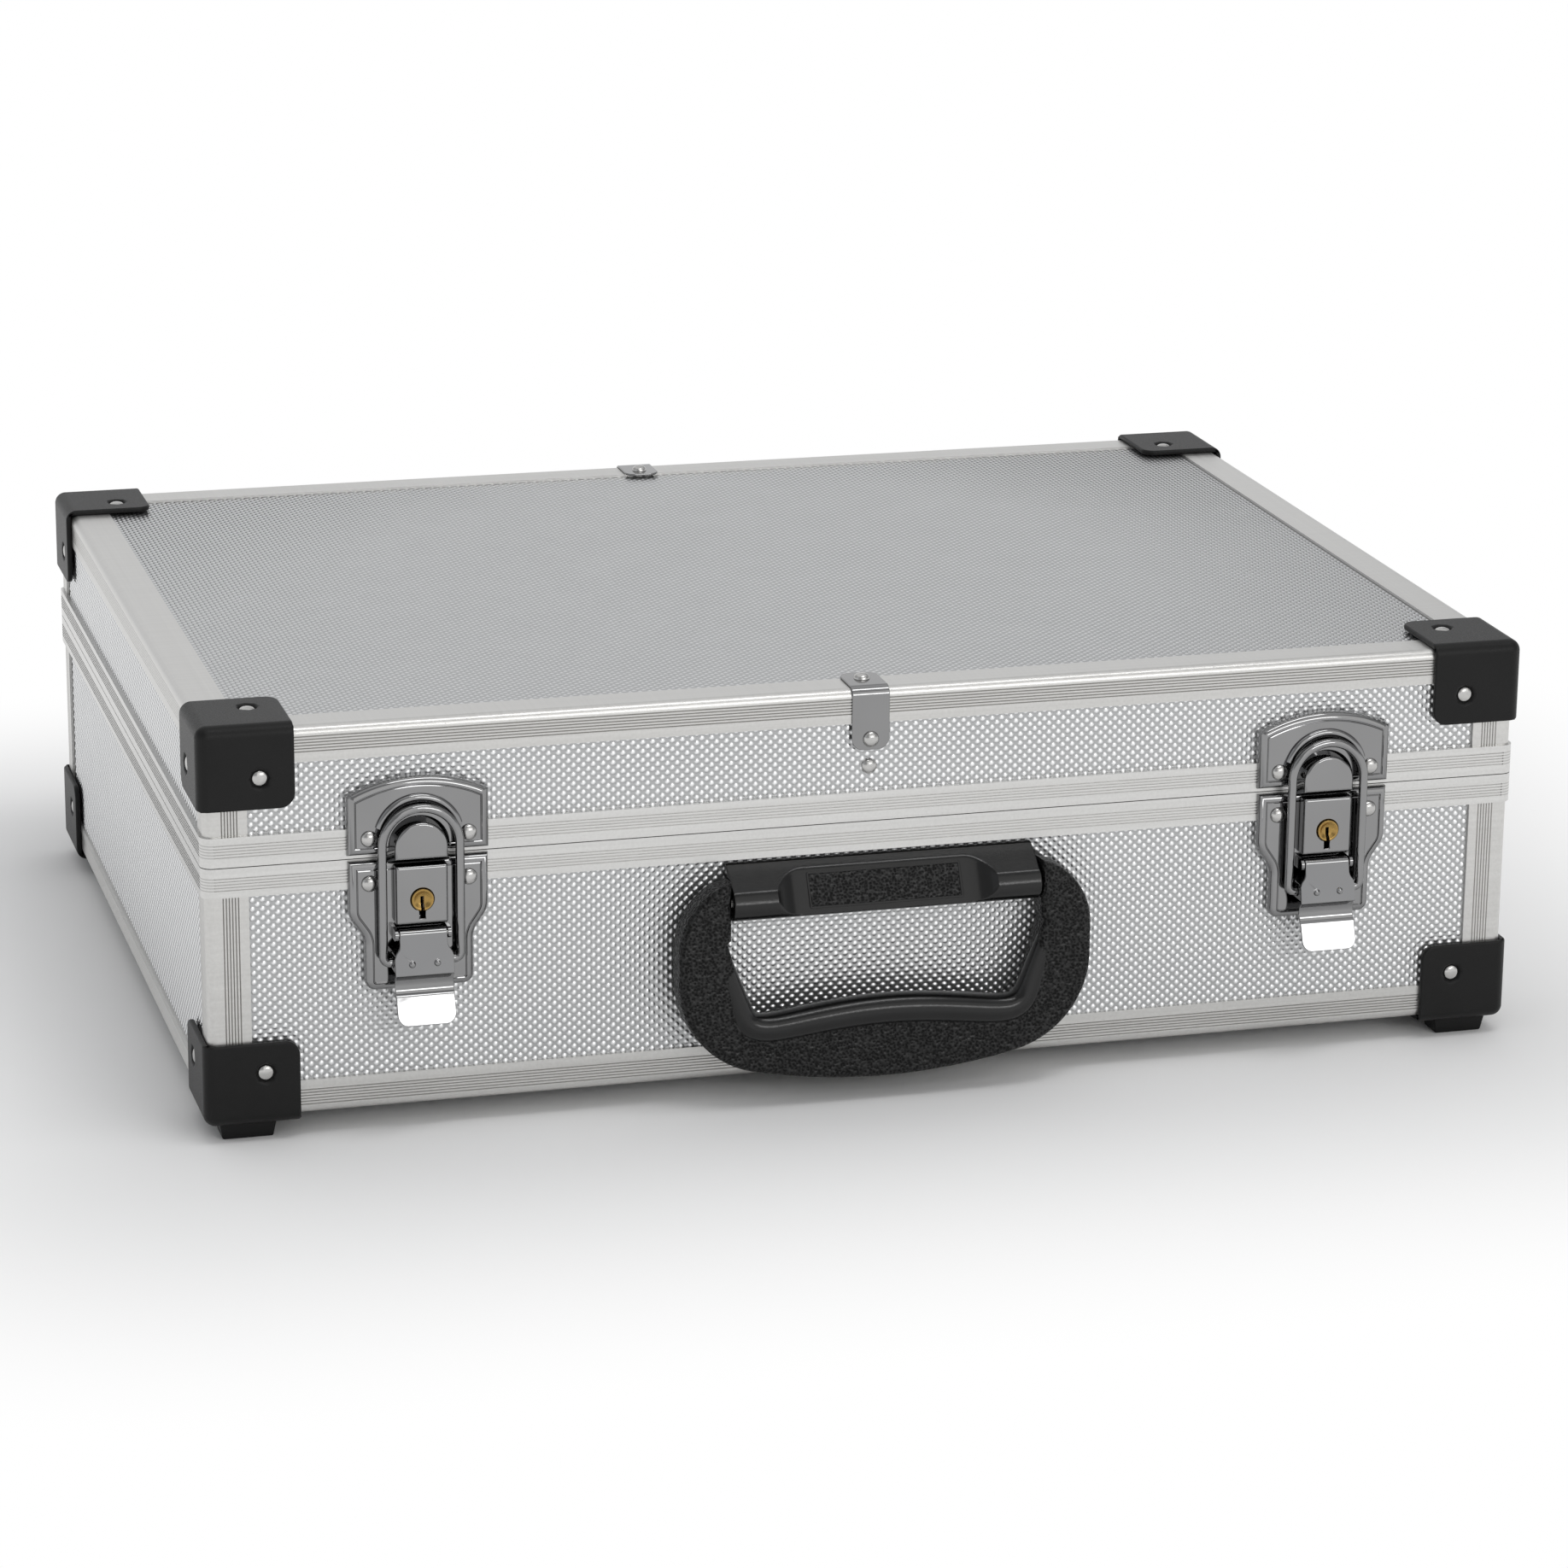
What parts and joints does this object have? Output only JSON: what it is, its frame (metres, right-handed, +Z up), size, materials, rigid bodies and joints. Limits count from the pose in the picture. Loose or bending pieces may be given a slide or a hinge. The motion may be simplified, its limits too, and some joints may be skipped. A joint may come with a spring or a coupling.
{
  "type": "aluminium case",
  "caption": "Hinged carrying case with aluminium-edged boards, moulded corners, draw latches with locks and a drop-down handle",
  "frame": {"origin": "under the middle of the overall box, on the plane of the feet", "axes": "+X along the front to the right, +Y from the front to the hinges, +Z up"},
  "size_m": [0.4596, 0.3534, 0.1431],
  "materials": {
    "dimpled_board": "fibreboard with a dimpled silver skin",
    "aluminium": "satin anodised",
    "corner_plastic": "fine grained, black",
    "handle_plastic": "leather grained, black",
    "plated_steel": "bright plated",
    "rivet_steel": "satin",
    "brass": "turned"
  },
  "bodies": {
    "base": {"base_back_edge_profile": "aluminium", "base_back_panel": "dimpled_board", "base_bottom_panel": "dimpled_board", "base_corner_back_left": "corner_plastic", "base_corner_back_right": "corner_plastic", "base_corner_front_left": "corner_plastic", "base_corner_front_right": "corner_plastic", "base_corner_posts": "aluminium", "base_corner_rivets": "rivet_steel", "base_front_edge_profile": "aluminium", "base_front_panel": "dimpled_board", "base_hardware_rivets": "rivet_steel", "base_left_edge_profile": "aluminium", "base_left_panel": "dimpled_board", "base_right_edge_profile": "aluminium", "base_right_panel": "dimpled_board", "base_rim_frame": "aluminium", "handle_bracket": "handle_plastic", "handle_pivot_pins": "rivet_steel", "handle_screws": "rivet_steel", "hinge_left_base_leaf": "plated_steel", "hinge_pins": "rivet_steel", "hinge_right_base_leaf": "plated_steel", "latch_left_base_plate": "plated_steel", "latch_left_lock_case": "plated_steel", "latch_lever_pins": "rivet_steel", "latch_right_base_plate": "plated_steel", "latch_right_lock_case": "plated_steel"},
    "lid": {"hinge_left_lid_leaf": "plated_steel", "hinge_right_lid_leaf": "plated_steel", "latch_left_keeper": "plated_steel", "latch_right_keeper": "plated_steel", "lid_back_clip": "plated_steel", "lid_back_edge_profile": "aluminium", "lid_back_panel": "dimpled_board", "lid_clip_rivets": "rivet_steel", "lid_corner_back_left": "corner_plastic", "lid_corner_back_right": "corner_plastic", "lid_corner_front_left": "corner_plastic", "lid_corner_front_right": "corner_plastic", "lid_corner_posts": "aluminium", "lid_corner_rivets": "rivet_steel", "lid_front_clip": "plated_steel", "lid_front_edge_profile": "aluminium", "lid_front_panel": "dimpled_board", "lid_hardware_rivets": "rivet_steel", "lid_left_edge_profile": "aluminium", "lid_left_panel": "dimpled_board", "lid_right_edge_profile": "aluminium", "lid_right_panel": "dimpled_board", "lid_rim_frame": "aluminium", "lid_top_panel": "dimpled_board"},
    "handle": {"handle_grip": "handle_plastic"},
    "latch_left_lever": {"latch_left_lever": "plated_steel"},
    "latch_left_bail": {"latch_left_bail": "plated_steel"},
    "latch_left_lock": {"latch_left_lock_cylinder": "brass"},
    "latch_right_lever": {"latch_right_lever": "plated_steel"},
    "latch_right_bail": {"latch_right_bail": "plated_steel"},
    "latch_right_lock": {"latch_right_lock_cylinder": "brass"}
  },
  "joints": [
    {"name": "lid_hinge", "type": "hinge", "parent": "base", "child": "lid", "pos_m": [0, 0.17417, 0.0952], "axis": [-1, 0, 0], "range_deg": [0, 95]},
    {"name": "handle_swing", "type": "hinge", "parent": "base", "child": "handle", "pos_m": [0, -0.16778, 0.0722], "axis": [-1, 0, 0], "range_deg": [0, 90]},
    {"name": "latch_left_lever_swing", "type": "hinge", "parent": "base", "child": "latch_left_lever", "pos_m": [-0.1575, -0.16767, 0.0702], "axis": [-1, 0, 0], "range_deg": [0, 110]},
    {"name": "latch_left_bail_swing", "type": "hinge", "parent": "latch_left_lever", "child": "latch_left_bail", "pos_m": [-0.1575, -0.16687, 0.0607], "axis": [-1, 0, 0], "range_deg": [-140, 0]},
    {"name": "latch_left_lock_turn", "type": "hinge", "parent": "base", "child": "latch_left_lock", "pos_m": [-0.1575, -0.16767, 0.0821], "axis": [0, -1, 0], "range_deg": [0, 90]},
    {"name": "latch_right_lever_swing", "type": "hinge", "parent": "base", "child": "latch_right_lever", "pos_m": [0.1575, -0.16767, 0.0702], "axis": [-1, 0, 0], "range_deg": [0, 110]},
    {"name": "latch_right_bail_swing", "type": "hinge", "parent": "latch_right_lever", "child": "latch_right_bail", "pos_m": [0.1575, -0.16687, 0.0607], "axis": [-1, 0, 0], "range_deg": [-140, 0]},
    {"name": "latch_right_lock_turn", "type": "hinge", "parent": "base", "child": "latch_right_lock", "pos_m": [0.1575, -0.16767, 0.0821], "axis": [0, -1, 0], "range_deg": [0, 90]}
  ],
  "couplings": [
    {"joint": "latch_left_bail_swing", "follows": "latch_left_lever_swing", "ratio": -1.25},
    {"joint": "latch_right_bail_swing", "follows": "latch_right_lever_swing", "ratio": -1.25}
  ]
}
